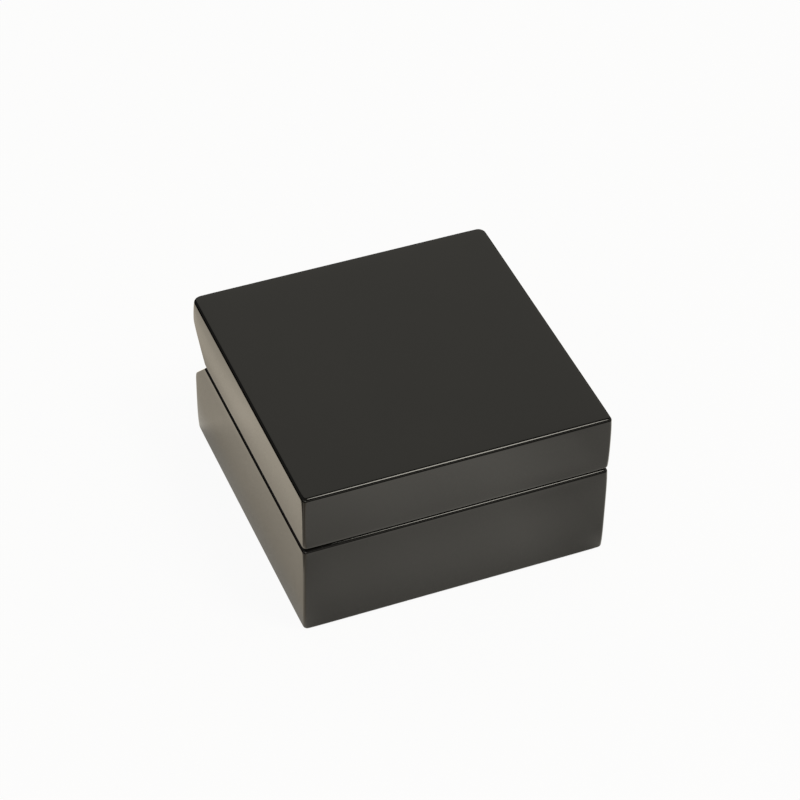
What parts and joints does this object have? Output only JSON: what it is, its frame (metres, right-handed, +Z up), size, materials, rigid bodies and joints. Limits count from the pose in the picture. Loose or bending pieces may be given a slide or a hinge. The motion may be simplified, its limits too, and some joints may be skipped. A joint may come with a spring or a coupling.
{
  "type": "box with clock",
  "caption": "Square glossy black lacquered box with a hinged lid that stops upright and a round quartz alarm clock set into the inside of the lid.",
  "frame": {"origin": "on the table under the centre of the box", "axes": "+X to the right as seen from the front, +Y to the back where the hinges are, +Z up; lid closed"},
  "size_m": [0.1, 0.1, 0.0552],
  "materials": {
    "black_lacquer": "polished",
    "board": "matte",
    "suede": "matte",
    "felt": "matte",
    "brass": "polished",
    "chrome": "polished",
    "lens": "polished",
    "dial_paint": "satin",
    "ring_satin": "satin",
    "rubber": "matte",
    "hand_paint": "satin",
    "hand_red": "satin",
    "copper": "gloss",
    "steel": "satin",
    "buzzer_brass": "satin",
    "circuit_green": "satin",
    "white_plastic": "satin",
    "black_plastic": "satin"
  },
  "bodies": {
    "base": {"base_back_rail": "black_lacquer", "base_floor_panel": "board", "base_front_rail": "black_lacquer", "base_left_rail": "black_lacquer", "base_lining_back": "suede", "base_lining_floor": "suede", "base_lining_front": "suede", "base_lining_left": "suede", "base_lining_right": "suede", "base_right_rail": "black_lacquer", "hinge_base_screws": "brass", "hinge_left_base_leaf": "brass", "hinge_left_pin": "brass", "hinge_right_base_leaf": "brass", "hinge_right_pin": "brass", "underside_felt": "felt"},
    "lid": {"clock_panel": "board", "clock_panel_suede": "suede", "hinge_left_lid_leaf": "brass", "hinge_lid_screws": "brass", "hinge_right_lid_leaf": "brass", "lid_back_rail": "black_lacquer", "lid_front_rail": "black_lacquer", "lid_left_rail": "black_lacquer", "lid_right_rail": "black_lacquer", "lid_top_panel": "black_lacquer", "panel_corner_blocks": "board"},
    "clock": {"battery": "steel", "battery_contact_minus": "steel", "battery_contact_plus": "steel", "buzzer_disc": "buzzer_brass", "case_screws": "steel", "circuit_board": "circuit_green", "clock_bezel": "chrome", "clock_lens": "lens", "dial": "dial_paint", "dial_ring": "ring_satin", "grip_ring": "rubber", "motor_coil": "copper", "motor_stator": "steel", "movement_case": "black_plastic", "movement_plate": "white_plastic", "quartz_crystal": "steel"},
    "minute": {"minute_hand": "hand_paint", "minute_wheel": "white_plastic"},
    "hour": {"hour_hand": "hand_paint", "hour_wheel": "white_plastic"},
    "second": {"second_hand": "hand_red", "second_wheel": "white_plastic"},
    "alarm": {"alarm_hand": "brass", "alarm_wheel": "white_plastic"},
    "rotor": {"motor_rotor": "steel"},
    "intermediate": {"intermediate_wheel": "white_plastic"},
    "third": {"third_wheel": "white_plastic"},
    "transfer": {"transfer_wheel": "white_plastic"},
    "time_knob": {"time_set_knob": "black_plastic"},
    "alarm_knob": {"alarm_set_knob": "black_plastic"},
    "cover": {"battery_cover": "black_plastic"},
    "switch": {"alarm_switch": "white_plastic"}
  },
  "joints": [
    {"name": "lid_hinge", "type": "hinge", "parent": "base", "child": "lid", "pos_m": [0, 0.0394, 0.0342], "axis": [-1, 0, 0], "range_deg": [0, 90]},
    {"name": "clock_pull", "type": "slide", "parent": "lid", "child": "clock", "axis": [0, 0, -1], "range_m": [0, 0.016]},
    {"name": "second_turn", "type": "hinge", "parent": "clock", "child": "second", "pos_m": [0, -0.005, 0.04175], "axis": [0, 0, 1], "continuous": true},
    {"name": "minute_turn", "type": "hinge", "parent": "clock", "child": "minute", "pos_m": [0, -0.005, 0.04175], "axis": [0, 0, 1], "continuous": true},
    {"name": "hour_turn", "type": "hinge", "parent": "clock", "child": "hour", "pos_m": [0, -0.005, 0.04175], "axis": [0, 0, 1], "continuous": true},
    {"name": "third_turn", "type": "hinge", "parent": "clock", "child": "third", "pos_m": [0, 0.0005, 0.04175], "axis": [0, 0, 1], "continuous": true},
    {"name": "intermediate_turn", "type": "hinge", "parent": "clock", "child": "intermediate", "pos_m": [0, -0.0108, 0.04175], "axis": [0, 0, 1], "continuous": true},
    {"name": "rotor_turn", "type": "hinge", "parent": "clock", "child": "rotor", "pos_m": [0, -0.0143, 0.04175], "axis": [0, 0, 1], "continuous": true},
    {"name": "transfer_turn", "type": "hinge", "parent": "clock", "child": "transfer", "pos_m": [-0.004, -0.005, 0.04175], "axis": [0, 0, 1], "continuous": true},
    {"name": "time_set", "type": "hinge", "parent": "clock", "child": "time_knob", "pos_m": [-0.008, -0.005, 0.04175], "axis": [0, 0, 1], "continuous": true},
    {"name": "alarm_turn", "type": "hinge", "parent": "clock", "child": "alarm", "pos_m": [0, -0.005, 0.04175], "axis": [0, 0, 1], "continuous": true},
    {"name": "alarm_set", "type": "hinge", "parent": "clock", "child": "alarm_knob", "pos_m": [0.006, -0.005, 0.04175], "axis": [0, 0, 1], "continuous": true},
    {"name": "battery_cover_slide", "type": "slide", "parent": "clock", "child": "cover", "axis": [0, 1, 0], "range_m": [0, 0.009]},
    {"name": "alarm_switch_slide", "type": "slide", "parent": "clock", "child": "switch", "axis": [1, 0, 0], "range_m": [0, 0.002]}
  ],
  "couplings": [
    {"joint": "rotor_turn", "follows": "second_turn", "ratio": 30},
    {"joint": "intermediate_turn", "follows": "second_turn", "ratio": -5},
    {"joint": "third_turn", "follows": "second_turn", "ratio": -0.13333},
    {"joint": "minute_turn", "follows": "second_turn", "ratio": 0.016667},
    {"joint": "transfer_turn", "follows": "second_turn", "ratio": -0.0055556},
    {"joint": "hour_turn", "follows": "second_turn", "ratio": 0.0013889},
    {"joint": "time_set", "follows": "second_turn", "ratio": 0.016667},
    {"joint": "alarm_set", "follows": "alarm_turn", "ratio": -1.1429}
  ]
}
